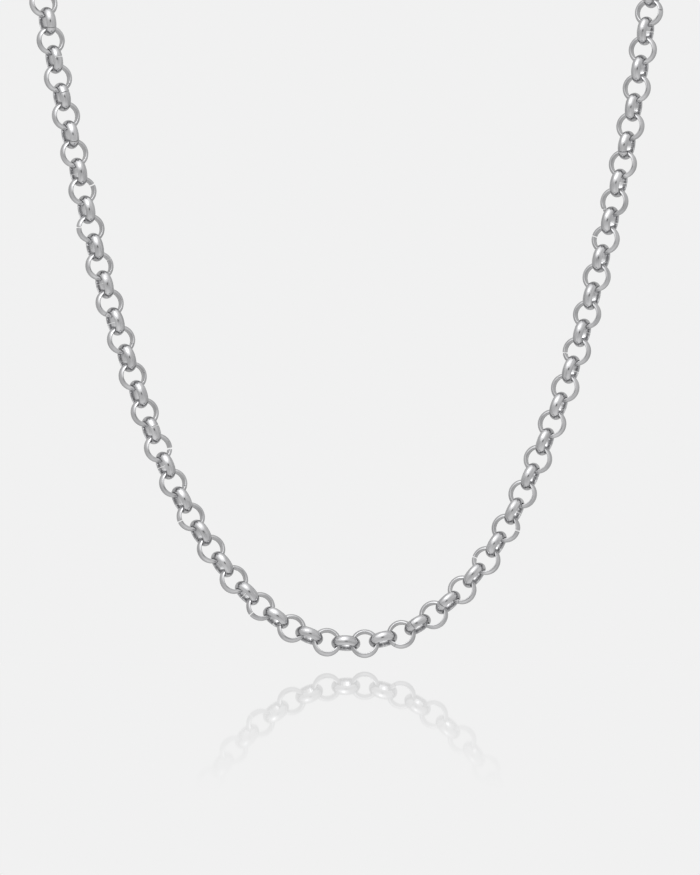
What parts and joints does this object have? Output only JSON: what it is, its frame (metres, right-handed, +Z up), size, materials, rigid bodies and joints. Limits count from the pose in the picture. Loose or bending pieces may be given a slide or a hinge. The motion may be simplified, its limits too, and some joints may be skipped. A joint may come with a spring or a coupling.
{
  "type": "rolo chain necklace",
  "caption": "Neck chain of interlocked round links in half-round wire, hung as a closed loop with a plain claw clasp at the nape.",
  "frame": {"origin": "the seat on the nape, at the inside of the loop in the middle of the clasp", "axes": "+Z up, -Y towards the front where the chain hangs, +X to the right of someone looking at the front"},
  "size_m": [0.1203, 0.0755, 0.1513],
  "materials": {
    "chain_steel": "polished stainless steel with fine rub marks along the wire",
    "clasp_steel": "polished stainless steel, slightly softer than the links"
  },
  "bodies": {
    "root": {"chain_left": "chain_steel", "chain_right": "chain_steel", "clasp": "clasp_steel"}
  },
  "joints": []
}
